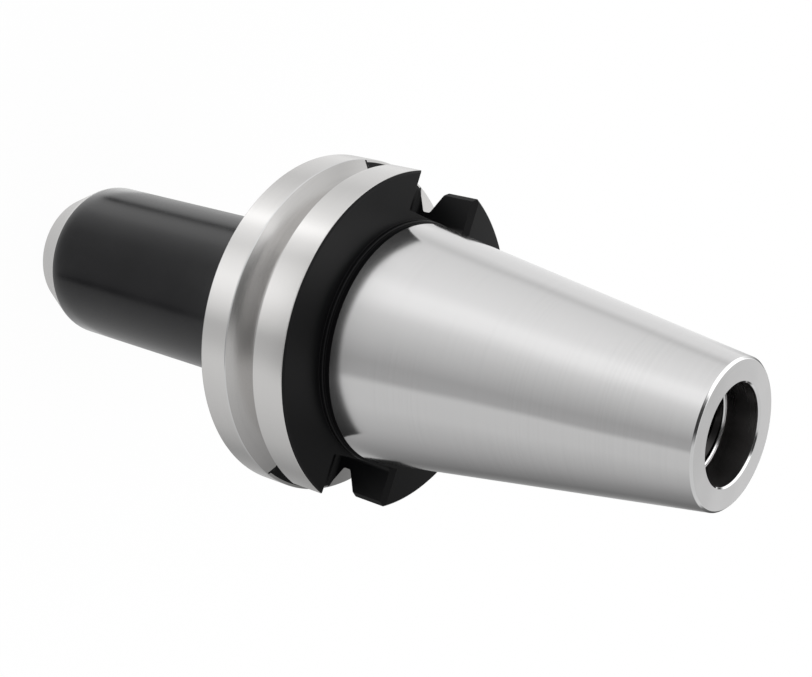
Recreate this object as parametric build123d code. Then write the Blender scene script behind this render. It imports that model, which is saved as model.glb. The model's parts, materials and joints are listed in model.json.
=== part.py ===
from build123d import *
from math import tan, radians
import os

# Lengths are in millimetres. The tool axis is Z, the nose face is at z = 0 and the taper points up.

# Steep taper, 40 size, 7 to 24 on diameter
gauge_length = 90.0
gauge_diameter = 44.45
taper_rate = 7.0 / 24.0
taper_length = 65.4
tail_chamfer = 0.4

# Flange and the V groove that the tool changer grips
flange_diameter = 63.0
face_gap = 2.0
drive_land = 7.2
groove_mouth = 6.7
nose_land = 6.2
groove_depth = 4.5
groove_angle = 60.0
groove_root_fillet = 0.6
rim_chamfer = 0.4
groove_lip_chamfer = 0.2

# Collar between the flange face and the taper
collar_step_diameter = 45.2
collar_step_height = 0.8
neck_diameter = 44.1
neck_edge_height = 0.15

# Two drive slots, one each side of the axis
slot_width = 17.6
slot_floor = 22.6
slot_end_margin = 0.3
slot_corner_radius = 1.1
slot_edge_chamfer = 0.9

# Hub and its ground nose cone
hub_diameter = 31.3
nose_cone_length = 7.4
nose_face_diameter = 24.5
nose_edge_chamfer = 0.3
hub_root_radius = 2.0

# Straight bore for the cutter shank, and the passage behind it
shank_diameter = 12.0
shank_bore_clearance = 0.01
shank_bore_depth = 52.0
shank_bore_chamfer = 0.7
passage_diameter = 6.0
drill_point_angle = 118.0

# Tail hole for the pull stud
pilot_diameter = 17.0
pilot_depth = 6.0
pilot_chamfer = 0.45
stud_thread_diameter = 16.0
stud_thread_depth = 26.0

# Side lock screw
screw_diameter = 10.0
screw_clearance = 0.05
screw_height = 22.5
screw_length = 8.0
screw_tip_gap = 0.35
screw_point_diameter = 7.0
screw_head_chamfer = 0.8
socket_across_flats = 5.0
socket_depth = 4.0
socket_chamfer = 0.3
screw_hole_countersink = 0.6

# Heights and radii that follow from the sizes above
face_height = gauge_length - face_gap
groove_top = face_height - drive_land
groove_bottom = groove_top - groove_mouth
slot_end = groove_bottom + slot_end_margin
back_height = groove_bottom - nose_land
tail_height = gauge_length + taper_length
flange_radius = flange_diameter / 2
root_radius = flange_radius - groove_depth
groove_slope = tan(radians(groove_angle / 2))
root_inset = groove_depth * groove_slope
gauge_radius = gauge_diameter / 2
tail_radius = gauge_radius - taper_length * taper_rate / 2
shank_bore_radius = shank_diameter / 2 + shank_bore_clearance
screw_tip = shank_bore_radius + screw_tip_gap
screw_top = screw_tip + screw_length


def nose_outline():
    """Radius and height of the hub and its nose cone, from the axis outwards."""
    return [
        (0, 0),
        (nose_face_diameter / 2 - nose_edge_chamfer, 0),
        (nose_face_diameter / 2, nose_edge_chamfer),
        (hub_diameter / 2, nose_cone_length),
        (hub_diameter / 2, back_height),
    ]


def flange_outline():
    """The two lands of the flange with the V groove between them."""
    lip_rise = groove_lip_chamfer
    lip_cut = groove_lip_chamfer * groove_slope
    return [
        (flange_radius - rim_chamfer, back_height),
        (flange_radius, back_height + rim_chamfer),
        (flange_radius, groove_bottom - lip_rise),
        (flange_radius - lip_rise, groove_bottom + lip_cut),
        (root_radius, groove_bottom + root_inset),
        (root_radius, groove_top - root_inset),
        (flange_radius - lip_rise, groove_top - lip_cut),
        (flange_radius, groove_top + lip_rise),
        (flange_radius, face_height - rim_chamfer),
        (flange_radius - rim_chamfer, face_height),
    ]


def taper_outline():
    """Collar, ground taper and tail face, ending on the axis."""
    chamfer_radius = tail_radius + tail_chamfer * taper_rate / 2
    return [
        (collar_step_diameter / 2, face_height),
        (collar_step_diameter / 2, face_height + collar_step_height),
        (neck_diameter / 2, face_height + collar_step_height),
        (neck_diameter / 2, gauge_length - neck_edge_height),
        (gauge_radius, gauge_length),
        (chamfer_radius, tail_height - tail_chamfer),
        (chamfer_radius - tail_chamfer, tail_height),
        (0, tail_height),
    ]


def round_corner(face, radius, height, fillet_radius):
    """Round the corner of an outline that lies nearest to a radius and height."""
    corner = Vector(radius, 0, height)
    vertex = min(face.vertices(), key=lambda v: (Vector(v.X, v.Y, v.Z) - corner).length)
    return fillet(vertex, fillet_radius)


def turned_blank():
    """The solid that leaves the lathe: hub, flange, collar and taper in one piece."""
    points = nose_outline() + flange_outline() + taper_outline()
    outline = Plane.XZ * make_face(Polyline(*points, close=True))
    outline = round_corner(outline, hub_diameter / 2, back_height, hub_root_radius)
    outline = round_corner(outline, root_radius, groove_bottom + root_inset, groove_root_fillet)
    outline = round_corner(outline, root_radius, groove_top - root_inset, groove_root_fillet)
    return revolve(outline, Axis.Z)


def drilled_outline(points):
    """Solid of revolution of a hole, from its radius and height points."""
    return revolve(Plane.XZ * make_face(Polyline(*points, close=True)), Axis.Z)


def nose_hole():
    """Shank bore with its mouth chamfer and drill point, and the passage behind it."""
    mouth = shank_bore_radius + shank_bore_chamfer
    passage = passage_diameter / 2
    point_rise = (shank_bore_radius - passage) / tan(radians(drill_point_angle / 2))
    thread_floor = tail_height - pilot_depth - stud_thread_depth
    return drilled_outline([
        (0, -1),
        (mouth + 1, -1),
        (shank_bore_radius, shank_bore_chamfer),
        (shank_bore_radius, shank_bore_depth),
        (passage, shank_bore_depth + point_rise),
        (passage, thread_floor),
        (0, thread_floor),
    ])


def tail_hole():
    """Pilot bore and thread hole for the pull stud, closed by a drill point."""
    pilot = pilot_diameter / 2
    thread = stud_thread_diameter / 2
    shoulder = tail_height - pilot_depth
    thread_floor = shoulder - stud_thread_depth
    point_drop = (thread - passage_diameter / 2) / tan(radians(drill_point_angle / 2))
    return drilled_outline([
        (0, tail_height + 1),
        (pilot + pilot_chamfer + 1, tail_height + 1),
        (pilot, tail_height - pilot_chamfer),
        (pilot, shoulder),
        (thread, shoulder),
        (thread, thread_floor),
        (passage_diameter / 2, thread_floor - point_drop),
        (0, thread_floor - point_drop),
    ])


def slot_block():
    """The milled space of one drive slot on the +X side, with rounded floor and end corners."""
    depth = flange_radius - slot_floor + 2 * slot_edge_chamfer
    rise = face_height - slot_end + 1
    block = Box(depth, slot_width, rise, align=(Align.MIN, Align.CENTER, Align.MIN))
    block = Pos(slot_floor, 0, slot_end) * block
    floor = block.faces().sort_by(Axis.X)[0]
    end = block.faces().sort_by(Axis.Z)[0]
    corners = floor.edges().filter_by(Axis.Z) + floor.edges().filter_by(Axis.Y).sort_by(Axis.Z)[0:1]
    corners += end.edges().filter_by(Axis.X)
    return fillet(corners, slot_corner_radius)


def flare(width, depth):
    """Section of a chamfered lip: as wide as the slot at its foot, and wider by its depth on each side."""
    half = width / 2
    return make_face(Polyline((0, -half), (0, half), (depth, half + depth), (depth, -half - depth), close=True))


def slot_cutter():
    """One drive slot with chamfered lips along the lands and at the flange face."""
    half = slot_width / 2
    lip_foot = (flange_radius ** 2 - half ** 2) ** 0.5 - slot_edge_chamfer
    rim_lip = extrude(flare(slot_width, flange_radius - lip_foot + 1), face_height - slot_end + 1)
    rim_lip = Pos(lip_foot, 0, slot_end) * rim_lip
    face_plane = Plane(origin=(slot_floor, 0, face_height - slot_edge_chamfer), x_dir=(0, 0, 1), z_dir=(1, 0, 0))
    face_lip = extrude(face_plane * flare(slot_width, slot_edge_chamfer), flange_radius - slot_floor + 1)
    return slot_block() + rim_lip + face_lip


def screw_hole():
    """Cross hole for the side lock screw on the +Y side, with its countersink."""
    radius = screw_diameter / 2 + screw_clearance
    rim = hub_diameter / 2
    hole = Cylinder(radius, rim + 1, align=(Align.CENTER, Align.CENTER, Align.MIN))
    lip = screw_hole_countersink
    mouth = Cone(radius, radius + lip + 1, lip + 1, align=(Align.CENTER, Align.CENTER, Align.MIN))
    sag = rim - (rim ** 2 - radius ** 2) ** 0.5
    cutter = hole + Pos(0, 0, rim - sag - lip) * mouth
    return Pos(0, 0, screw_height) * Rot(-90, 0, 0) * cutter


def holder_body():
    """The whole holder, cut from its turned blank."""
    body = turned_blank() - nose_hole() - tail_hole()
    for turn in (0, 180):
        body -= Rot(0, 0, turn) * slot_cutter()
    return body - screw_hole()


def set_screw():
    """Side lock screw: a headless screw with a flat point and a hexagon socket."""
    radius = screw_diameter / 2
    point_rise = radius - screw_point_diameter / 2
    shank = drilled_outline([
        (0, 0),
        (screw_point_diameter / 2, 0),
        (radius, point_rise),
        (radius, screw_length - screw_head_chamfer),
        (radius - screw_head_chamfer, screw_length),
        (0, screw_length),
    ])
    hexagon = RegularPolygon(socket_across_flats / 2, 6, major_radius=False)
    socket = Pos(0, 0, screw_length - socket_depth) * extrude(hexagon, socket_depth + 1)
    mouth = socket_across_flats / 2 + socket_chamfer
    lead = Cone(mouth - 1, mouth + 1, 2)
    screw = shank - socket - Pos(0, 0, screw_length) * lead
    return Pos(0, screw_tip, screw_height) * Rot(-90, 0, 0) * screw


os.makedirs("parts", exist_ok=True)
export_step(holder_body(), "parts/holder_body.step")
export_step(set_screw(), "parts/set_screw.step")
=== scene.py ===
"""Finish and studio for a side lock endmill holder with a 7/24 steep taper.

The holder stands on its nose face, with the tool axis along Z and the taper on top.
All lengths are in metres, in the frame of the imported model.
"""
import json
import math

import bmesh
import bpy
import numpy as np
from bpy.props import FloatProperty, FloatVectorProperty, PointerProperty
from mathutils import Matrix, Vector

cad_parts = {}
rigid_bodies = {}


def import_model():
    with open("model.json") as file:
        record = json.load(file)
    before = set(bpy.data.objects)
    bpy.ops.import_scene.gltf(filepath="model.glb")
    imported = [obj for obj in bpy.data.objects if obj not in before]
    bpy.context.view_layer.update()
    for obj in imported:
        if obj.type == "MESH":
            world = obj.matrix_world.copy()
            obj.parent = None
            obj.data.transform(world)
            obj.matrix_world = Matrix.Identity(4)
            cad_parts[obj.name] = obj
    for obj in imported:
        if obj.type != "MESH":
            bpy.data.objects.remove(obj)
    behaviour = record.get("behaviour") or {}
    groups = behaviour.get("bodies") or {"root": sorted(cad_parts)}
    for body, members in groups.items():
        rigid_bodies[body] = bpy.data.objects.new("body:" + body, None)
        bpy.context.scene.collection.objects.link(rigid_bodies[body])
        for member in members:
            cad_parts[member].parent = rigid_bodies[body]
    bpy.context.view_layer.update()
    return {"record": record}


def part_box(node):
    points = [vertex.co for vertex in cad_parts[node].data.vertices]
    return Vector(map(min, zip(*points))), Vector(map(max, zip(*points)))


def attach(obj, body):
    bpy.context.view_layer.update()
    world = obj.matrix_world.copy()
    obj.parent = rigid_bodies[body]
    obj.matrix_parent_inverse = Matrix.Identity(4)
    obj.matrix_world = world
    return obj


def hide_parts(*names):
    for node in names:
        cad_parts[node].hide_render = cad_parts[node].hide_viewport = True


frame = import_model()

bl_info = {
    "name": "Endmill Holder Finish",
    "version": (1, 0, 0),
    "blender": (4, 5, 0),
    "location": "3D View > Sidebar > Holder",
    "description": "Builds the ground and blackened surfaces of an endmill holder, and its studio",
    "category": "Object",
}

MM = 0.001
TAU = 2 * math.pi
BODY = "root"

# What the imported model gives: the radii and depths of the holes, and the boxes of its two solids
MOUNTS = {mount["name"]: mount for mount in frame["record"]["mounts"]}
GAUGE_HEIGHT = MOUNTS["spindle_taper"]["pos_m"][2]
BORE_RADIUS = MOUNTS["shank_bore"]["dims"]["r_mm"] * MM
PILOT_RADIUS = MOUNTS["tail_pilot"]["dims"]["r_mm"] * MM
THREAD_RADIUS = MOUNTS["stud_thread"]["dims"]["r_mm"] * MM
THREAD_DEPTH = MOUNTS["stud_thread"]["dims"]["length_mm"] * MM
BODY_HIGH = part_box("holder_body")[1]
FLANGE_RADIUS = BODY_HIGH.x
TAIL_HEIGHT = BODY_HIGH.z
SCREW_LOW, SCREW_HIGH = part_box("set_screw")
SCREW_RADIUS = SCREW_HIGH.x
SCREW_HEIGHT = (SCREW_LOW.z + SCREW_HIGH.z) / 2

# How finely the surfaces are divided, and which of their edges stay sharp
ROUND_SEGMENTS = 400
ROW_SPACING = 5.2 * MM
LARGE_ROUNDING = 0.5 * MM
LARGE_STEPS = 6
SMALL_STEPS = 3
CUTTER_SEGMENTS = 192
TENT_SEGMENTS = 180
FLOOR_SEGMENTS = 96
MERGE_DISTANCE = 1e-7
SHARP_ANGLE = math.radians(28)

# Depth of a 60 degree thread over its pitch, in a hole and on a screw
INNER_THREAD = 0.54
OUTER_THREAD = 0.61

# Range of the sum of two noises, and of one
PATTERN_RANGE = (0.7, 1.3)
NOISE_RANGE = (0.3, 0.7)

# Index of each finish of the body
TAPER, LANDS, GROOVE, HUB, HOLES, BLACK_FACE, EDGES, THREAD = range(8)

# Light panels of the tent, each as its place round the axis in degrees, from -Y towards +X, and its level
NOSE_PANELS = ((-180, 0.60), (-110, 0.68), (-40, 0.60), (20, 0.54), (110, 0.52), (180, 0.60))
RIM_PANELS = (
    (-180, 0.90), (-140, 1.50), (-105, 1.60), (-75, 1.20), (-40, 0.80),
    (0, 0.66), (60, 0.64), (120, 0.80), (180, 0.90),
)
FLOOR_PANELS = (
    (-180, 0.60), (-140, 0.80), (-114, 0.75), (-106, 0.60), (-102, 0.06), (-98, 0.06), (-94, 0.55),
    (-84, 0.75), (-70, 0.70), (-58, 0.45), (-44, 0.32), (-28, 0.20), (0, 0.15), (30, 0.13),
    (42, 0.11), (45, 0.02), (50, 0.02), (54, 0.20), (90, 0.36), (140, 0.55), (180, 0.60),
)
LOW_PANELS = (
    (-180, 0.66), (-154, 0.70), (-142, 0.88), (-130, 0.78), (-112, 0.72), (-98, 0.62), (-86, 0.68),
    (-72, 0.82), (-62, 1.00), (-54, 1.28), (-45, 0.95), (-32, 0.76), (-20, 0.94), (-8, 1.06),
    (0, 1.00), (12, 0.78), (24, 0.50), (34, 0.52), (48, 0.66), (62, 0.62), (80, 0.56),
    (100, 0.48), (125, 0.30), (145, 0.38), (165, 0.55), (180, 0.66),
)
HIGH_PANELS = (
    (-180, 0.66), (-165, 0.90), (-150, 0.88), (-130, 0.84), (-107, 0.79), (-96, 0.61), (-86, 0.74),
    (-60, 0.82), (-48, 0.86), (-36, 0.98), (-26, 0.94), (-14, 0.72), (0, 0.58), (12, 0.48),
    (24, 0.38), (35, 0.40), (40, 0.60), (60, 0.58), (85, 0.44), (110, 0.27), (128, 0.18),
    (142, 0.24), (165, 0.50), (180, 0.66),
)
BAND_PANELS = (
    *HIGH_PANELS[:8], (-48, 0.50), (-34, 0.44), (-24, 0.10), (-8, 0.05), (26, 0.02), (32, 0.10),
    (40, 0.60), *HIGH_PANELS[-7:],
)
FLAG_PANELS = ((-180, 0.06), (-152, 0.10), *HIGH_PANELS[3:-3], (150, 0.08), (180, 0.06))
CROWN_PANELS = (
    (-180, 0.53), (-158, 0.56), (-144, 1.40), (-56, 1.40), (-44, 0.30), (-30, 0.05), (16, 0.04),
    (28, 0.25), (42, 0.60), (90, 0.62), (150, 0.58), (180, 0.53),
)
SILL_PANELS = ((-180, 0.70), (-158, 0.70), *CROWN_PANELS[2:-2], (150, 0.70), (180, 0.70))

# Rings of panels on the tent's floor, outside the nose ring, each with the radii where it starts and is whole
FLOOR_RINGS = ((RIM_PANELS, 16.3 * MM, 16.9 * MM), (FLOOR_PANELS, 21.5 * MM, 23 * MM))

# Rings on its wall, each with the radius of the surface that mirrors it, or 0 for angles taken as they are,
# and with the heights where it starts and is whole
WALL_RINGS = (
    (LOW_PANELS, FLANGE_RADIUS, 3 * MM, 13 * MM),
    (BAND_PANELS, 0, 57 * MM, 59 * MM),
    (HIGH_PANELS, 0, 68 * MM, 70 * MM),
    (FLAG_PANELS, 0, 118 * MM, 138 * MM),
    (SILL_PANELS, 0, 166 * MM, 174 * MM),
    (CROWN_PANELS, 0, 180 * MM, 198 * MM),
)


def length(name, millimetres, text):
    """A length property with its default in millimetres."""
    return FloatProperty(name=name, description=text, default=millimetres * MM, unit="LENGTH", precision=5)


def factor(name, value, text):
    """A property between 0 and 1."""
    return FloatProperty(name=name, description=text, default=value, min=0, max=1, subtype="FACTOR")


def colour(name, value, text):
    """A linear RGB colour property."""
    return FloatVectorProperty(name=name, description=text, default=value, min=0, max=1, subtype="COLOR")


def angle(name, degrees, text):
    """An angle property with its default in degrees."""
    return FloatProperty(name=name, description=text, default=math.radians(degrees), subtype="ANGLE")


class HolderSizes(bpy.types.PropertyGroup):
    """Sizes of the holder's turned, milled and threaded forms."""

    gauge_height: length("Gauge height", GAUGE_HEIGHT / MM, "Nose face to the gauge line")
    gauge_diameter: length("Gauge diameter", 44.45, "Taper diameter at the gauge line")
    taper_rate: FloatProperty(name="Taper rate", description="Change of diameter per length", default=7 / 24)
    tail_chamfer: length("Tail chamfer", 0.4, "Chamfer at the small end of the taper")
    face_gap: length("Face gap", 2.0, "Flange face to the gauge line")
    drive_land: length("Drive land", 7.2, "Width of the land beside the flange face")
    groove_mouth: length("Groove mouth", 6.7, "Width of the V groove at the lands")
    nose_land: length("Nose land", 6.2, "Width of the land on the nose side")
    groove_depth: length("Groove depth", 4.5, "Depth of the V groove")
    groove_angle: angle("Groove angle", 60, "Angle between the flanks of the V groove")
    groove_root: length("Groove root", 0.6, "Rounding in the root of the V groove")
    groove_lip: length("Groove lip", 0.22, "Rounding where the V groove meets the lands")
    rim_chamfer: length("Rim chamfer", 0.4, "Chamfer of both outer rims of the flange")
    collar_diameter: length("Collar diameter", 45.2, "Step ring on the flange face")
    collar_height: length("Collar height", 0.8, "Height of the step ring")
    collar_edge: length("Collar edge", 0.25, "Rounding of the step ring's outer edge")
    neck_diameter: length("Neck diameter", 44.1, "Neck between the step ring and the taper")
    neck_edge: length("Neck edge", 0.15, "Height of the slope from the neck to the gauge line")
    slot_width: length("Slot width", 17.6, "Width of the drive slots")
    slot_floor: length("Slot floor", 22.6, "Axis to the floor of a drive slot")
    slot_margin: length("Slot end margin", 0.3, "How far above the nose land a slot ends, inside the groove")
    slot_corner: length("Slot corner", 1.1, "Radius in the corners of a slot")
    slot_lip: length("Slot lip", 0.9, "Chamfer along the edges of a slot")
    hub_diameter: length("Hub diameter", 31.3, "Diameter of the hub")
    hub_root: length("Hub root", 2.0, "Radius where the hub meets the flange")
    nose_cone: length("Nose cone", 7.4, "Length of the ground nose cone")
    nose_blend: length("Nose blend", 3.6, "Radius of the ground blend between the hub and the nose cone")
    black_start: length("Black start", 0.12, "How far above the nose cone the black oxide starts")
    nose_diameter: length("Nose diameter", 24.5, "Diameter of the nose face")
    nose_edge: length("Nose edge", 0.3, "Rounding at the rim of the nose face")
    edge_rounding: length("Edge rounding", 0.15, "Rounding at the chamfers of the flange and the tail")
    fine_rounding: length("Fine rounding", 0.08, "Rounding of the other turned edges")
    bore_chamfer: length("Bore chamfer", 0.7, "Chamfer at the mouth of the shank bore")
    bore_depth: length("Bore depth", 52.0, "Nose face to the end of the shank bore")
    passage_diameter: length("Passage diameter", 6.0, "Passage between the bore and the stud thread")
    drill_point: angle("Drill point", 118, "Point angle of the drilled holes")
    pilot_depth: length("Pilot depth", 6.0, "Depth of the pilot bore in the tail")
    pilot_chamfer: length("Pilot chamfer", 0.3, "Chamfer at the mouth of the pilot bore")
    thread_lead: length("Thread lead", 0.22, "Chamfer where the stud thread starts")
    stud_pitch: length("Stud pitch", 2.0, "Pitch of the stud thread")
    screw_pitch: length("Screw pitch", 1.5, "Pitch of the lock screw")
    screw_clearance: length("Screw clearance", 0.05, "Gap between the lock screw and its hole")
    screw_countersink: length("Screw countersink", 0.6, "Countersink of the screw hole")
    screw_point: length("Screw point", 7.0, "Diameter of the lock screw's flat point")
    screw_chamfer: length("Screw chamfer", 0.8, "Chamfer at the lock screw's head")
    socket_flats: length("Socket flats", 5.0, "Hexagon socket across its flats")
    socket_depth: length("Socket depth", 4.0, "Depth of the hexagon socket")
    socket_lead: length("Socket lead", 0.3, "Chamfer at the mouth of the hexagon socket")
    socket_drill: length("Socket drill", 4.2, "Diameter of the drill cone under the socket")
    socket_cone: length("Socket cone", 1.2, "Depth of the drill cone under the socket")


class HolderFinish(bpy.types.PropertyGroup):
    """Colours and gloss of the holder's finishes."""

    ground_colour: colour("Ground steel", (0.79, 0.785, 0.785), "Colour of the ground taper")
    land_colour: colour("Land steel", (0.81, 0.80, 0.79), "Colour of the ground lands and nose cone")
    groove_colour: colour("Groove steel", (0.67, 0.66, 0.65), "Colour of the turned V groove")
    edge_colour: colour("Edge steel", (0.82, 0.82, 0.82), "Colour of the polished edges and chamfers")
    black_colour: colour("Black oxide", (0.010, 0.010, 0.011), "Colour of the blackened hub and screw")
    face_colour: colour("Face oxide", (0.0025, 0.0025, 0.003), "Colour of the flange face and drive slots")
    bore_colour: colour("Bore steel", (0.30, 0.29, 0.29), "Colour of the drilled holes")
    # Thread steel is near black: the darkness is painted shade of the deep threaded hole, not the steel's own
    # colour
    thread_shade_colour: colour("Thread steel", (0.05, 0.048, 0.048), "Colour of the stud thread and the passage")
    taper_gloss: factor("Taper roughness", 0.14, "Roughness of the ground taper")
    land_gloss: factor("Land roughness", 0.20, "Roughness of the lands")
    groove_gloss: factor("Groove roughness", 0.23, "Roughness of the turned V groove")
    edge_gloss: factor("Edge roughness", 0.10, "Roughness of the polished edges")
    bore_gloss: factor("Bore roughness", 0.30, "Roughness of the drilled holes")
    thread_gloss: factor("Thread roughness", 0.35, "Roughness of the stud thread")
    black_gloss: factor("Black roughness", 0.20, "Roughness of the blackened hub")
    face_gloss: factor("Face roughness", 0.38, "Roughness of the blackened flange face")


class HolderStudio(bpy.types.PropertyGroup):
    """Camera, floor and light of the studio."""

    aim_side: length("Aim offset", -0.84, "Place across the tool axis that the camera looks at")
    aim_height: length("Aim height", 88.34, "Height on the tool axis that the camera looks at")
    distance: length("Distance", 292.87, "Camera to the point it looks at")
    azimuth: angle("Azimuth", 2.564, "Turn of the camera about the tool axis, from the -Y side")
    elevation: angle("Elevation", 37.031, "Angle of the camera above the floor")
    roll: angle("Roll", 105.584, "Turn of the camera about its own line of sight")
    focal_length: FloatProperty(
        name="Focal length", description="Lens on a 36 mm wide sensor", default=71.41, unit="CAMERA")
    floor_radius: length("Floor radius", 4000.0, "Radius of the pale floor disc")
    floor_colour: colour("Floor", (1.0, 1.0, 1.0), "Colour of the floor")
    floor_glow: factor("Floor glow", 0.95, "Share of plain white in the floor that the camera sees")
    tent_radius: length("Tent radius", 70.0, "Radius of the light tent round the holder")
    tent_height: length("Tent height", 420.0, "Height of the light tent")
    tent_floor: length("Tent floor", 0.05, "Height of the tent's floor above the pale floor")
    tent_overlap: length("Tent overlap", 1.0, "How far the tent's floor reaches under the nose face")


def corner_arc(before, here, after, rounding):
    """Points of one rounded corner, from the side that comes in to the side that goes out.

    An arc of the given radius R touches both sides at R / tan(half the angle between them) from the corner.
    Its points divide the turn evenly. One more point on each side, a third of R from the arc, keeps the
    shading flat.
    """
    inward = (before - here) / np.linalg.norm(before - here)
    onward = (after - here) / np.linalg.norm(after - here)
    half = math.acos(np.clip(inward @ onward, -1, 1)) / 2
    centre = here + (inward + onward) / np.linalg.norm(inward + onward) * rounding / math.sin(half)
    reach = rounding / math.tan(half)
    start = here + inward * reach
    end = here + onward * reach
    steps = LARGE_STEPS if rounding > LARGE_ROUNDING else SMALL_STEPS
    share = np.linspace(0, 1, steps + 1)[:, None]
    bend = math.pi - 2 * half
    arc = np.sin((1 - share) * bend) * (start - centre) + np.sin(share * bend) * (end - centre)
    margin = rounding / 3
    return np.vstack([start + inward * margin, centre + arc / math.sin(bend), end + onward * margin])


def rounded_outline(corners):
    """Outline of a closed section with rounded corners, each given as (radius, height, rounding).

    Long sides between the corners are divided evenly into pieces no longer than the row spacing.
    """
    points = np.array([corner[:2] for corner in corners], float)
    arcs = [
        corner_arc(points[index - 1], points[index], points[(index + 1) % len(points)], corner[2])
        for index, corner in enumerate(corners)
    ]
    made = []
    for index, arc in enumerate(arcs):
        goal = arcs[(index + 1) % len(arcs)][0]
        pieces = max(1, math.ceil(np.linalg.norm(goal - arc[-1]) / ROW_SPACING))
        share = np.linspace(0, 1, pieces, endpoint=False)[1:, None]
        made += [arc, arc[-1] + (goal - arc[-1]) * share]
    return np.vstack(made)


def grid_faces(rows, columns, close_rows, close_columns):
    """Quads of a grid of rows by columns, joined round where it closes.

    The point in row i and column j has the number i * columns + j.
    """
    i = np.arange(rows if close_rows else rows - 1)[:, None]
    j = np.arange(columns if close_columns else columns - 1)[None]
    next_i = (i + 1) % rows
    next_j = (j + 1) % columns
    corners = [i * columns + j, i * columns + next_j, next_i * columns + next_j, next_i * columns + j]
    return np.stack([corner + 0 * (i + j) for corner in corners], axis=-1).reshape(-1, 4)


def end_caps(rows, columns):
    """The two faces that close a grid, open at its ends, over its first and its last row."""
    return [list(range(columns)), list(range((rows - 1) * columns, rows * columns))]


def round_points(radius, turn, height):
    """Points (radius cos turn, radius sin turn, height), in a list, from arrays that together span a grid."""
    rise = height + 0 * radius + 0 * turn
    return np.stack([radius * np.cos(turn), radius * np.sin(turn), rise], axis=-1).reshape(-1, 3)


def revolved(outline, segments=ROUND_SEGMENTS):
    """Closed surface of revolution of an outline of (radius, height) points, carried round the Z axis."""
    turn = np.linspace(0, TAU, segments, endpoint=False)
    points = round_points(outline[:, 0][:, None], turn, outline[:, 1][:, None])
    return points, grid_faces(len(outline), segments, True, True)


def laid_on_y(points):
    """Points of a form that stands on Z, turned to lie along +Y at the height of the lock screw."""
    return points[:, [0, 2, 1]] * (1, 1, -1) + (0, 0, SCREW_HEIGHT)


def make_mesh(name, points, faces):
    """Mesh object from arrays, with every face smooth and its normals pointing out."""
    mesh = bpy.data.meshes.new(name)
    mesh.from_pydata(np.asarray(points).tolist(), [], [list(face) for face in faces])
    made = bpy.data.objects.new(name, mesh)
    bpy.context.scene.collection.objects.link(made)
    tidy_mesh(mesh)
    return made


def tidy_mesh(mesh):
    """Merge doubles, drop empty faces, turn every face outwards and shade the mesh."""
    work = bmesh.new()
    work.from_mesh(mesh)
    bmesh.ops.remove_doubles(work, verts=work.verts, dist=MERGE_DISTANCE)
    bmesh.ops.dissolve_degenerate(work, edges=work.edges, dist=MERGE_DISTANCE)
    bmesh.ops.recalc_face_normals(work, faces=work.faces)
    work.to_mesh(mesh)
    work.free()
    mesh.polygons.foreach_set("use_smooth", np.ones(len(mesh.polygons), bool))
    mesh.set_sharp_from_angle(angle=SHARP_ANGLE)
    mesh.update()


def flange_heights(size):
    """Heights of the flange face, of both edges of the V groove, and of the flange's back."""
    face = size.gauge_height - size.face_gap
    groove_top = face - size.drive_land
    groove_foot = groove_top - size.groove_mouth
    return face, groove_top, groove_foot, groove_foot - size.nose_land


def holder_outline(size):
    """Section of the whole holder, as a closed outline.

    It runs from the mouth of the shank bore round the outside and back through the holes. The taper's radius
    falls by half the taper rate times the height above the gauge line.
    """
    face, groove_top, groove_foot, back = flange_heights(size)
    root = FLANGE_RADIUS - size.groove_depth
    inset = size.groove_depth * math.tan(size.groove_angle / 2)
    gauge = size.gauge_diameter / 2
    tail_radius = gauge - (TAIL_HEIGHT - size.gauge_height) * size.taper_rate / 2
    chamfer_radius = tail_radius + size.tail_chamfer * size.taper_rate / 2
    collar = size.collar_diameter / 2
    step_top = face + size.collar_height
    neck = size.neck_diameter / 2
    passage = size.passage_diameter / 2
    drill_slope = math.tan(size.drill_point / 2)
    shoulder = TAIL_HEIGHT - size.pilot_depth
    thread_foot = shoulder - THREAD_DEPTH
    edge = size.edge_rounding
    fine = size.fine_rounding
    return rounded_outline([
        (BORE_RADIUS + size.bore_chamfer, 0, fine),
        (size.nose_diameter / 2, 0, size.nose_edge),
        (size.hub_diameter / 2, size.nose_cone, size.nose_blend),
        (size.hub_diameter / 2, back, size.hub_root),
        (FLANGE_RADIUS - size.rim_chamfer, back, edge),
        (FLANGE_RADIUS, back + size.rim_chamfer, edge),
        (FLANGE_RADIUS, groove_foot, size.groove_lip),
        (root, groove_foot + inset, size.groove_root),
        (root, groove_top - inset, size.groove_root),
        (FLANGE_RADIUS, groove_top, size.groove_lip),
        (FLANGE_RADIUS, face - size.rim_chamfer, edge),
        (FLANGE_RADIUS - size.rim_chamfer, face, edge),
        (collar, face, fine),
        (collar, step_top, size.collar_edge),
        (neck, step_top, fine),
        (neck, size.gauge_height - size.neck_edge, fine / 2),
        (gauge, size.gauge_height, fine / 2),
        (chamfer_radius, TAIL_HEIGHT - size.tail_chamfer, edge),
        (chamfer_radius - size.tail_chamfer, TAIL_HEIGHT, edge),
        (PILOT_RADIUS + size.pilot_chamfer, TAIL_HEIGHT, fine),
        (PILOT_RADIUS, TAIL_HEIGHT - size.pilot_chamfer, fine),
        (PILOT_RADIUS, shoulder, fine),
        (THREAD_RADIUS + size.thread_lead, shoulder, fine / 2),
        (THREAD_RADIUS, shoulder - size.thread_lead, fine / 2),
        (THREAD_RADIUS, thread_foot, fine),
        (passage, thread_foot - (THREAD_RADIUS - passage) / drill_slope, fine),
        (passage, size.bore_depth + (BORE_RADIUS - passage) / drill_slope, fine),
        (BORE_RADIUS, size.bore_depth, fine),
        (BORE_RADIUS, size.bore_chamfer, fine),
    ])


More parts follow.
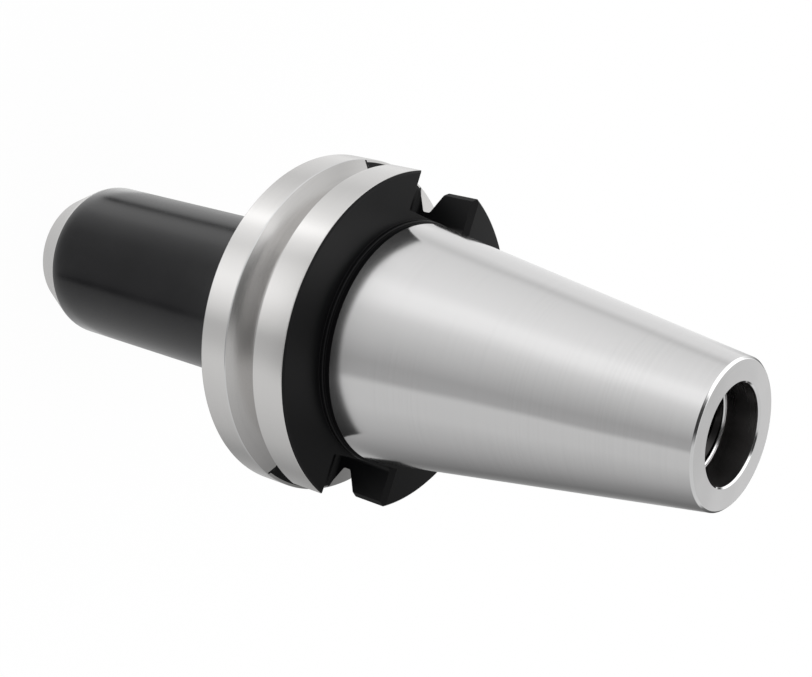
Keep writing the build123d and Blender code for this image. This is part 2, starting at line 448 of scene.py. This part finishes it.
def rounded_block(low, high, radius, steps=8):
    """Box with every edge and corner rounded.

    Each eighth of a sphere of the given radius is moved out to its own corner of the inner box, which is
    smaller by that radius on every side. The faces between the eighths are the flats and rounded edges.
    """
    low = np.array(low, float)
    high = np.array(high, float)
    centre = (low + high) / 2
    inner = (high - low) / 2 - radius
    quarter = np.linspace(0, math.pi / 2, steps + 1)
    turn = np.concatenate([quarter + number * math.pi / 2 for number in range(4)])
    rise = np.concatenate([quarter - math.pi / 2, quarter])[:, None]
    side_x = np.repeat([1, -1, -1, 1], steps + 1)
    side_y = np.repeat([1, 1, -1, -1], steps + 1)
    side_z = np.repeat([-1, 1], steps + 1)[:, None]
    sphere = round_points(np.cos(rise), turn, np.sin(rise))
    corner = np.stack([side_x + 0 * rise, side_y + 0 * rise, side_z + 0 * turn], axis=-1).reshape(-1, 3)
    rows = rise.shape[0]
    columns = turn.shape[0]
    poles = [[row * columns + number * (steps + 1) for number in range(4)] for row in (0, rows - 1)]
    return centre + corner * inner + sphere * radius, [*grid_faces(rows, columns, False, True), *poles]


def prism(section, start, end):
    """Closed prism: a flat section, a list of 3-D points, carried straight from the start to the end."""
    section = np.array(section, float)
    points = np.vstack([section + np.array(start), section + np.array(end)])
    return points, [*grid_faces(2, len(section), False, True), *end_caps(2, len(section))]


def slot_cutters(size, side):
    """The three cutters of one drive slot: a rounded block and the flares that chamfer its lips.

    The floor lies a hair further out than the step ring, which has the same radius, so that they don't graze.
    """
    face, _, groove_foot, _ = flange_heights(size)
    end = groove_foot + size.slot_margin
    hair = 0.002 * MM
    floor = size.slot_floor + hair
    half = size.slot_width / 2
    over = 2 * MM
    top = face + over
    wide = half + size.slot_lip + over
    lip_foot = math.sqrt(FLANGE_RADIUS ** 2 - half ** 2) - size.slot_lip
    lip_end = lip_foot + size.slot_lip + over
    face_foot = face - size.slot_lip
    rim_flare = [(lip_foot, -half, 0), (lip_foot, half, 0), (lip_end, wide, 0), (lip_end, -wide, 0)]
    face_flare = [(0, -half, face_foot), (0, half, face_foot), (0, wide, top), (0, -wide, top)]
    cutters = [
        rounded_block((floor, -half, end), (FLANGE_RADIUS + 2 * over, half, top), size.slot_corner),
        prism(rim_flare, (0, 0, end), (0, 0, top)),
        prism(face_flare, (floor, 0, 0), (FLANGE_RADIUS + over, 0, 0)),
    ]
    return [(points * (side, side, 1), faces) for points, faces in cutters]


def screw_hole_cutter(size):
    """Cutter of the cross hole on the +Y side: a turned plug whose outer end flares into the countersink."""
    radius = SCREW_RADIUS + size.screw_clearance
    rim = size.hub_diameter / 2
    over = 3 * MM
    foot = math.sqrt(rim ** 2 - radius ** 2) - size.screw_countersink
    top = rim + over
    outline = np.array([(radius, 0), (radius, foot), (radius + top - foot, top)])
    points = revolved(outline, CUTTER_SEGMENTS)[0]
    sides = grid_faces(len(outline), CUTTER_SEGMENTS, False, True)
    return laid_on_y(points), [*sides, *end_caps(len(outline), CUTTER_SEGMENTS)]


def cut(body, cutters):
    """Subtract the cutters from a body with one Boolean, and apply it."""
    group = bpy.data.collections.new("cutters")
    bpy.context.scene.collection.children.link(group)
    for number, (points, faces) in enumerate(cutters):
        piece = make_mesh(f"cutter_{number}", points, faces)
        bpy.context.scene.collection.objects.unlink(piece)
        group.objects.link(piece)
    boolean = body.modifiers.new("cut", "BOOLEAN")
    boolean.operation = "DIFFERENCE"
    boolean.solver = "MANIFOLD"
    boolean.operand_type = "COLLECTION"
    boolean.collection = group
    graph = bpy.context.evaluated_depsgraph_get()
    mesh = bpy.data.meshes.new_from_object(body.evaluated_get(graph))
    mesh.materials.clear()
    body.modifiers.clear()
    body.data = mesh
    for piece in list(group.objects):
        bpy.data.objects.remove(piece)
    bpy.data.collections.remove(group)
    tidy_mesh(mesh)


def finish_of_faces(mesh, size):
    """Index of the finish of each face, from where the face lies and which way it looks.

    Outward is the share of the normal that points away from the axis, across the share that points round it,
    and rise the share that points up. Wide is the distance outside the walls of a drive slot.
    """
    count = len(mesh.polygons)
    centre = np.zeros(count * 3)
    normal = np.zeros(count * 3)
    mesh.polygons.foreach_get("center", centre)
    mesh.polygons.foreach_get("normal", normal)
    x, y, height = centre.reshape(-1, 3).T
    normal_x, normal_y, rise = normal.reshape(-1, 3).T
    radius = np.hypot(x, y)
    outward = (x * normal_x + y * normal_y) / radius
    across = np.abs(x * normal_y - y * normal_x) / radius

    face, groove_top, groove_foot, back = flange_heights(size)
    gap = 0.03 * MM
    finish = np.full(count, TAPER, np.int32)
    finish[height < face] = LANDS
    inside_rim = radius < FLANGE_RADIUS - gap
    finish[(height > groove_foot - gap) & (height < groove_top + gap) & inside_rim] = GROOVE

    looks_inward = outward < -0.5
    above_cone = height > size.nose_cone + size.black_start
    finish[above_cone & (height < back + size.rim_chamfer - gap) & ~looks_inward] = HUB

    below_gauge = height < size.gauge_height - 0.1 * MM
    rim = (height > face - size.rim_chamfer + gap) & below_gauge
    above_end = height > groove_foot + size.slot_margin - gap
    level = above_end & (height < face) & (np.abs(x) > size.slot_floor - gap)
    wide = np.abs(y) - size.slot_width / 2
    inside_walls = wide < -0.001 * MM
    on_lips = (wide < size.slot_lip + gap) & (across > 0.04)
    finish[rim | (level & (inside_walls | on_lips))] = BLACK_FACE

    near_axis = radius < 10 * MM
    drilled = (radius < PILOT_RADIUS + gap) & (height > 1 * MM)
    beside_screw = (y > 0) & (np.abs(height - SCREW_HEIGHT) < 6 * MM) & (height < back)
    turned_aside = across + np.abs(rise) > 0.3
    finish[(looks_inward & near_axis) | drilled | (beside_screw & turned_aside)] = HOLES

    shoulder = TAIL_HEIGHT - size.pilot_depth
    behind_bore = height > size.bore_depth + 1 * MM
    # The stud thread and the passage take the thread steel, whose near-black colour is painted shade of the
    # deep hole
    finish[(radius < THREAD_RADIUS + gap) & (height < shoulder) & behind_bore] = THREAD
    not_flat = rise < 0.98
    slanted = (rise > 0.2) & not_flat & near_axis
    finish[slanted & (np.abs(height - shoulder + size.thread_lead / 2) < size.thread_lead)] = TAPER

    mouth = slanted & (height > TAIL_HEIGHT - size.pilot_chamfer - gap)
    chamfer = (height > TAIL_HEIGHT - size.tail_chamfer - gap) & not_flat & (outward > 0.3)
    near_lip = (np.abs(height - groove_foot) < 0.25 * MM) & (radius > FLANGE_RADIUS - 0.3 * MM)
    between_flank_and_land = (outward > 0.52) & (outward < 0.995)
    lip = near_lip & between_flank_and_land & (finish != BLACK_FACE)
    finish[mouth | chamfer | lip] = EDGES
    return finish


def new_material(name):
    """Node material: the material, its node tree and its Principled shader."""
    made = bpy.data.materials.new(name)
    made.use_nodes = True
    return made, made.node_tree, made.node_tree.nodes["Principled BSDF"]


def add_node(tree, kind, inputs=None, **settings):
    """Add a shader node and return its outputs. Each input is given as a socket to link or a plain value."""
    made = tree.nodes.new("ShaderNode" + kind)
    for name, value in settings.items():
        setattr(made, name, value)
    for slot, value in (inputs or {}).items():
        if isinstance(value, bpy.types.NodeSocket):
            tree.links.new(value, made.inputs[slot])
        else:
            made.inputs[slot].default_value = value
    return made.outputs


def maths(tree, operation, *values):
    """Math node of one or two values, each a socket or a number."""
    return add_node(tree, "Math", dict(enumerate(values)), operation=operation)[0]


def noise(tree, place, scale, detail):
    """Noise of the given scale and detail at a place."""
    return add_node(tree, "TexNoise", {"Vector": place, "Scale": scale, "Detail": detail})[0]


def fitted(tree, value, low, high, bottom=0.0, top=1.0):
    """Value carried from the range low to high to the range bottom to top, and held inside it."""
    ranges = {"Value": value, "From Min": low, "From Max": high, "To Min": bottom, "To Max": top}
    return add_node(tree, "MapRange", ranges)[0]


def mixed(tree, share, first, second):
    """Colour that goes from the first to the second as the share goes from 0 to 1."""
    return add_node(tree, "Mix", {0: share, 6: first, 7: second}, data_type="RGBA")[2]


def toned(base, share):
    """A colour with its red, green and blue multiplied by a share, and held to 1."""
    return (*[min(1, part * share) for part in base], 1)


def steel_material(name, base, gloss, anisotropy=0.0, lean=9.0, lines=3500.0, depth=0.03, mottling=0.1,
                   wave=0.0, tone_spread=0.04):
    """Ground or turned steel: fine lines round the axis, a slow mottling of the gloss, stretched highlights.

    The lines run round the axis, so highlights stretch across them, in the plane through the axis. The
    tangent is therefore the unit vector away from the axis plus the lean times Z, which the shader lays into
    the surface. Lines is how close they lie along the axis, and depth how strong they are. The wave is the
    height in metres of a slow unevenness of the surface, stretched along the axis. Gloss and tone follow the
    sum of two noises, which stays about within the pattern range.
    """
    line_width = 30
    line_height = 0.02 * MM
    patch_scale = 60
    wave_scale = 110
    wave_stretch = (1, 1, 0.3)
    made, tree, shader = new_material(name)
    shader.inputs["Metallic"].default_value = 1
    shader.inputs["Anisotropic"].default_value = anisotropy
    where = add_node(tree, "TexCoord")["Object"]
    x, y, height = add_node(tree, "SeparateXYZ", {0: where})
    flat = add_node(tree, "CombineXYZ", {0: x, 1: y})[0]
    radius = add_node(tree, "VectorMath", {0: flat}, operation="LENGTH")["Value"]
    outwards = add_node(tree, "VectorMath", {0: flat}, operation="NORMALIZE")[0]
    tangent = add_node(tree, "VectorMath", {0: outwards, 1: (0, 0, lean)}, operation="ADD")[0]
    tree.links.new(tangent, shader.inputs["Tangent"])

    along = maths(tree, "MULTIPLY", maths(tree, "ADD", radius, height), lines)
    slow_x = maths(tree, "MULTIPLY", x, line_width)
    slow_y = maths(tree, "MULTIPLY", y, line_width)
    grooves = noise(tree, add_node(tree, "CombineXYZ", {0: slow_x, 1: slow_y, 2: along})[0], 1, 3)
    relief = {"Height": grooves, "Strength": depth, "Distance": line_height}
    if wave:
        stretched = add_node(tree, "Mapping", {"Vector": where, "Scale": wave_stretch})[0]
        swell = noise(tree, stretched, wave_scale, 1)
        relief["Normal"] = add_node(tree, "Bump", {"Height": swell, "Distance": wave})[0]
    tree.links.new(add_node(tree, "Bump", relief)[0], shader.inputs["Normal"])

    pattern = maths(tree, "ADD", grooves, noise(tree, where, patch_scale, 4))
    roughness = fitted(tree, pattern, *PATTERN_RANGE, gloss * (1 - mottling), gloss * (1 + mottling))
    tree.links.new(roughness, shader.inputs["Roughness"])
    tone = mixed(tree, pattern, toned(base, 1 - tone_spread), toned(base, 1 + tone_spread))
    tree.links.new(tone, shader.inputs["Base Color"])
    return made


def oxide_material(name, base, gloss, specular):
    """Black oxide: near black, half gloss, with clouds in its colour and gloss, and a fine grain."""
    grain_scale = 1800
    grain_height = 0.02 * MM
    cloud_scale = 90
    made, tree, shader = new_material(name)
    shader.inputs["Specular IOR Level"].default_value = specular
    where = add_node(tree, "TexCoord")["Object"]
    clouds = noise(tree, where, cloud_scale, 4)
    unevenness = 0.03
    roughness = fitted(tree, clouds, *NOISE_RANGE, gloss - unevenness, gloss + unevenness)
    tree.links.new(roughness, shader.inputs["Roughness"])
    tree.links.new(mixed(tree, clouds, toned(base, 0.8), toned(base, 1.25)), shader.inputs["Base Color"])
    grain = {"Height": noise(tree, where, grain_scale, 3), "Strength": 0.12, "Distance": grain_height}
    tree.links.new(add_node(tree, "Bump", grain)[0], shader.inputs["Normal"])
    return made


def helical_ridge(wall, crest, pitch, first, last, segments=96):
    """Ridge of an internal thread, as a closed ribbon about Z.

    At turn t the ridge's section is a trapezium from the wall radius to the crest radius, and its height
    along Z is first + pitch * t. The crest sinks back to the wall over the first and last quarter of a turn,
    and the ribbon's back lies a little inside the wall.
    """
    turns = (last - first) / pitch
    count = int(segments * turns) + 1
    turn = np.linspace(0, turns, count)[:, None]
    swell = np.clip(4 * np.minimum(turn, turns - turn), 0, 1)
    back = -0.05
    across = np.array([-0.46, -0.06, 0.06, 0.46, 0.46, -0.46])
    depth = np.array([0, 1, 1, 0, back, back])
    radius = wall + (crest - wall) * depth * np.where(depth > 0, swell, 1)
    points = round_points(radius, TAU * turn, first + pitch * (turn + across))
    return points, [*grid_faces(count, len(across), False, True), *end_caps(count, len(across))]


def screw_surface(size, columns=240, rows=161):
    """Lock screw about Z from its flat point at 0 to its head, all on one grid of heights by angles.

    The thread's radius is the major radius less the thread depth times a triangle wave of height / pitch
    less angle / full turn, flattened over a tenth of the pitch at crest and root. The point and head chamfers
    cap that radius. Inside the head the radius is that of a hexagon, half its flats over cos(angle from the
    middle of the nearest flat), and a drill cone ends the socket.
    """
    reach = SCREW_HIGH.y - SCREW_LOW.y
    turn = np.linspace(0, TAU, columns, endpoint=False)[None]
    height = np.linspace(0, reach, rows)[:, None]
    phase = (height / size.screw_pitch - turn / TAU) % 1
    flat_share = 0.1
    wave = np.clip((np.abs(phase - 0.5) * 2 - flat_share) / (1 - 2 * flat_share), 0, 1)
    thread = SCREW_RADIUS - OUTER_THREAD * size.screw_pitch * wave
    cap = np.minimum(size.screw_point / 2 + height, SCREW_RADIUS - size.screw_chamfer + (reach - height))
    from_flat = np.abs((turn + math.pi / 6) % (math.pi / 3) - math.pi / 6)
    hexagon = size.socket_flats / 2 / np.cos(from_flat)
    floor = reach - size.socket_depth
    tip = 0.02 * MM
    rings = [
        (hexagon + size.socket_lead, reach),
        (hexagon, reach - size.socket_lead),
        (hexagon, floor),
        (size.socket_drill / 2, floor),
        (tip, floor - size.socket_cone),
    ]
    centre = 0.001 * MM
    radii = np.vstack([centre + 0 * turn, np.minimum(thread, cap), *[ring[0] + 0 * turn for ring in rings]])
    heights = np.vstack([0 * turn, height + 0 * turn, *[ring[1] + 0 * turn for ring in rings]])
    faces = [*grid_faces(len(radii), columns, False, True), *end_caps(len(radii), columns)]
    return round_points(radii, turn, heights), faces


class HOLDER_OT_body(bpy.types.Operator):
    """Build the holder body: turned surface, drive slots, screw hole and its finishes"""

    bl_idname = "holder.body"
    bl_label = "Holder body"

    def execute(self, context):
        size = context.scene.holder_sizes
        look = context.scene.holder_finish
        body = make_mesh("holder_body_skin", *revolved(holder_outline(size)))
        cut(body, [*slot_cutters(size, 1), *slot_cutters(size, -1), screw_hole_cutter(size)])
        if len(body.data.polygons) < ROUND_SEGMENTS:
            raise RuntimeError("the cut left no holder body")
        finishes = {
            TAPER: steel_material("ground_taper", look.ground_colour, look.taper_gloss, anisotropy=0.6,
                                  lean=-1, lines=4000, mottling=0.08, wave=0.14 * MM),
            LANDS: steel_material("ground_lands", look.land_colour, look.land_gloss, anisotropy=0.6,
                                  lean=1.5, wave=0.06 * MM),
            GROOVE: steel_material("turned_groove", look.groove_colour, look.groove_gloss, anisotropy=0.5,
                                   wave=0.05 * MM, tone_spread=0.06),
            HUB: oxide_material("hub_oxide", look.black_colour, look.black_gloss, 1.0),
            HOLES: steel_material("drilled_steel", look.bore_colour, look.bore_gloss, anisotropy=0.2,
                                  lines=2500, depth=0.1, mottling=0.2),
            BLACK_FACE: oxide_material("face_oxide", look.face_colour, look.face_gloss, 0.25),
            EDGES: steel_material("polished_edge", look.edge_colour, look.edge_gloss, depth=0.01),
            # Thread steel: its near-black colour is painted shade of the deep hole
            THREAD: steel_material("shaded_thread_steel", look.thread_shade_colour, look.thread_gloss,
                                   lines=2500, depth=0.1, mottling=0.2),
        }
        for index in sorted(finishes):
            body.data.materials.append(finishes[index])
        body.data.polygons.foreach_set("material_index", finish_of_faces(body.data, size))
        body.data.update()
        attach(body, BODY)
        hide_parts("holder_body")
        return {"FINISHED"}


class HOLDER_OT_stud_thread(bpy.types.Operator):
    """Build the ridge of the stud thread in the tail hole"""

    bl_idname = "holder.stud_thread"
    bl_label = "Stud thread"

    def execute(self, context):
        size = context.scene.holder_sizes
        pitch = size.stud_pitch
        shoulder = TAIL_HEIGHT - size.pilot_depth
        first = shoulder - THREAD_DEPTH + pitch
        last = shoulder - 0.6 * pitch
        crest = THREAD_RADIUS - INNER_THREAD * pitch
        ridge = make_mesh("stud_thread_ridge", *helical_ridge(THREAD_RADIUS, crest, pitch, first, last))
        # The ridge takes the same thread steel, with its painted shade of the deep hole
        ridge.data.materials.append(bpy.data.materials["shaded_thread_steel"])
        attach(ridge, BODY)
        return {"FINISHED"}


class HOLDER_OT_lock_screw(bpy.types.Operator):
    """Build the side lock screw with its thread, point and hexagon socket"""

    bl_idname = "holder.lock_screw"
    bl_label = "Lock screw"

    def execute(self, context):
        points, faces = screw_surface(context.scene.holder_sizes)
        screw = make_mesh("lock_screw", laid_on_y(points) + (0, SCREW_LOW.y, 0), faces)
        screw.data.materials.append(bpy.data.materials["hub_oxide"])
        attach(screw, BODY)
        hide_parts("set_screw")
        return {"FINISHED"}


def floor_material(studio):
    """Pale floor that the camera and reflections see as nearly white, darkened only by a shadow."""
    made, tree, shader = new_material("pale_floor")
    shader.inputs["Base Color"].default_value = (*studio.floor_colour, 1)
    shader.inputs["Roughness"].default_value = 1
    shader.inputs["Specular IOR Level"].default_value = 0
    glow = add_node(tree, "Emission", {"Color": (1, 1, 1, 1)})[0]
    ray = add_node(tree, "LightPath")
    mirrored = maths(tree, "MAXIMUM", ray["Is Glossy Ray"], ray["Is Transmission Ray"])
    seen = maths(tree, "MAXIMUM", ray["Is Camera Ray"], mirrored)
    share = maths(tree, "MULTIPLY", seen, studio.floor_glow)
    mix = add_node(tree, "MixShader", {0: share, 1: shader.outputs[0], 2: glow})[0]
    tree.links.new(mix, tree.nodes["Material Output"].inputs["Surface"])
    return made


def studio_world():
    """Plain white light from all round, which the camera and the metal also see."""
    world = bpy.data.worlds.new("studio")
    bpy.context.scene.world = world
    world.use_nodes = True
    world.node_tree.nodes["Background"].inputs["Color"].default_value = (1, 1, 1, 1)


def seen_at(degrees, mirror, wall):
    """Angle round the axis where a reflection that leaves at the given angle meets the wall, in degrees.

    A turned surface of the mirror's radius reflects into the angle a from its point at a / 2, so the wall is
    met at a - arcsin(mirror / wall * sin(a / 2)).
    """
    return degrees - math.degrees(math.asin(mirror / wall * math.sin(math.radians(degrees) / 2)))


def panel_colours(tree, turn, panels):
    """Colour ramp that gives the panels' levels from the angle round the axis, from -180 to 180 degrees."""
    ramp = tree.nodes.new("ShaderNodeValToRGB")
    tree.links.new(fitted(tree, turn, -math.pi, math.pi), ramp.inputs[0])
    stops = ramp.color_ramp.elements
    stops.remove(stops[1])
    for number, (degrees, level) in enumerate(panels):
        place = (degrees + 180) / 360
        stop = stops[0] if number == 0 else stops.new(place)
        stop.position = place
        stop.color = (level, level, level, 1)
    return ramp.outputs[0]


def tent_material(studio, hub_radius):
    """Pale paper of the light tent, lit brighter and darker in panels round its axis.

    A point's place round the axis is its angle from -Y, growing towards +X. On the floor its radius blends
    rings of panels, from the nose outwards: nose, rim and floor. Its height blends rings from the floor up:
    low, band, high, flag, sill and crown. On the floor, a panel is seen by the hub as a straight strip: a
    point at radius r and angle t belongs to the panel a = t + arcsin(hub / r * sin(a / 2)), solved in three
    rounds.
    """
    made, tree, shader = new_material("tent_paper")
    tree.nodes.remove(shader)
    x, y, height = add_node(tree, "SeparateXYZ", {0: add_node(tree, "TexCoord")["Object"]})
    turn = maths(tree, "ARCTAN2", x, maths(tree, "MULTIPLY", y, -1))
    square = maths(tree, "ADD", maths(tree, "MULTIPLY", x, x), maths(tree, "MULTIPLY", y, y))
    radius = maths(tree, "SQRT", square)
    largest_ratio = 0.98
    ratio = maths(tree, "MINIMUM", maths(tree, "DIVIDE", hub_radius, radius), largest_ratio)
    strip = turn
    for _ in range(3):
        half = maths(tree, "SINE", maths(tree, "MULTIPLY", strip, 0.5))
        lead = maths(tree, "ARCSINE", maths(tree, "MULTIPLY", half, ratio))
        strip = maths(tree, "ADD", turn, lead)
    level = panel_colours(tree, strip, NOSE_PANELS)
    for panels, start, whole in FLOOR_RINGS:
        ring = panel_colours(tree, strip, panels)
        level = mixed(tree, fitted(tree, radius, start, whole), level, ring)
    for panels, mirror, start, whole in WALL_RINGS:
        placed = [(seen_at(degrees, mirror, studio.tent_radius), light) for degrees, light in panels]
        ring = panel_colours(tree, turn, placed)
        level = mixed(tree, fitted(tree, height, start, whole), level, ring)
    glow = add_node(tree, "Emission", {"Color": level})[0]
    tree.links.new(glow, tree.nodes["Material Output"].inputs["Surface"])
    return made


def add_tent(studio, size):
    """Light tent that only reflections show: a ring of floor and a wall, both turned about Z."""
    turn = np.linspace(0, TAU, TENT_SEGMENTS, endpoint=False)
    hole = size.nose_diameter / 2 - studio.tent_overlap
    radius = np.array([[hole], [studio.tent_radius], [studio.tent_radius]])
    height = np.array([[studio.tent_floor], [studio.tent_floor], [studio.tent_height]])
    faces = grid_faces(len(radius), TENT_SEGMENTS, False, True)
    tent = make_mesh("light_tent", round_points(radius, turn, height), faces)
    tent.data.materials.append(tent_material(studio, size.hub_diameter / 2))
    tent.visible_camera = False
    tent.visible_diffuse = False
    tent.visible_shadow = False


def add_floor(studio):
    """Flat round floor under the holder."""
    turn = np.linspace(0, TAU, FLOOR_SEGMENTS, endpoint=False)
    floor = make_mesh("floor", round_points(studio.floor_radius, turn, 0), [range(FLOOR_SEGMENTS)])
    floor.data.materials.append(floor_material(studio))


def add_camera(studio):
    """Camera on a ray at the given azimuth and elevation from its aim, rolled about that ray."""
    aim = Vector((studio.aim_side, 0, studio.aim_height))
    out = math.cos(studio.elevation)
    rise = math.sin(studio.elevation)
    back = Vector((math.sin(studio.azimuth) * out, -math.cos(studio.azimuth) * out, rise))
    turn = back.to_track_quat("Z", "Y").to_matrix().to_4x4() @ Matrix.Rotation(studio.roll, 4, "Z")
    camera = bpy.data.objects.new("camera", bpy.data.cameras.new("camera"))
    camera.matrix_world = Matrix.Translation(aim + back * studio.distance) @ turn
    camera.data.lens = studio.focal_length
    camera.data.clip_start = 10 * MM
    bpy.context.scene.collection.objects.link(camera)
    bpy.context.scene.camera = camera


class HOLDER_OT_studio(bpy.types.Operator):
    """Set the floor, light and camera"""

    bl_idname = "holder.studio"
    bl_label = "Studio"

    def execute(self, context):
        studio = context.scene.holder_studio
        add_floor(studio)
        studio_world()
        add_tent(studio, context.scene.holder_sizes)
        add_camera(studio)
        context.scene.view_settings.view_transform = "Standard"
        return {"FINISHED"}


class HOLDER_PT_panel(bpy.types.Panel):
    """Sidebar panel with the holder's sizes, finishes and build steps"""

    bl_label = "Endmill Holder"
    bl_idname = "HOLDER_PT_panel"
    bl_space_type = "VIEW_3D"
    bl_region_type = "UI"
    bl_category = "Holder"

    def draw(self, context):
        for step in STEPS:
            self.layout.operator(step.bl_idname)
        for group in GROUPS:
            box = self.layout.box()
            box.label(text=group.replace("_", " ").capitalize())
            settings = getattr(context.scene, group)
            for name in settings.bl_rna.properties.keys():
                if name not in ("rna_type", "name"):
                    box.prop(settings, name)


STEPS = (HOLDER_OT_body, HOLDER_OT_stud_thread, HOLDER_OT_lock_screw, HOLDER_OT_studio)
GROUPS = {"holder_sizes": HolderSizes, "holder_finish": HolderFinish, "holder_studio": HolderStudio}


def register():
    """Register the settings, operators and panel."""
    for made in (*GROUPS.values(), *STEPS, HOLDER_PT_panel):
        bpy.utils.register_class(made)
    for name, group in GROUPS.items():
        setattr(bpy.types.Scene, name, PointerProperty(type=group))


def unregister():
    """Take the settings, operators and panel out again."""
    for name in GROUPS:
        delattr(bpy.types.Scene, name)
    for made in (HOLDER_PT_panel, *reversed(STEPS), *GROUPS.values()):
        bpy.utils.unregister_class(made)


def main():
    """Build every piece and the studio."""
    register()
    bpy.ops.holder.body()
    bpy.ops.holder.stud_thread()
    bpy.ops.holder.lock_screw()
    bpy.ops.holder.studio()


if __name__ == "__main__":
    main()
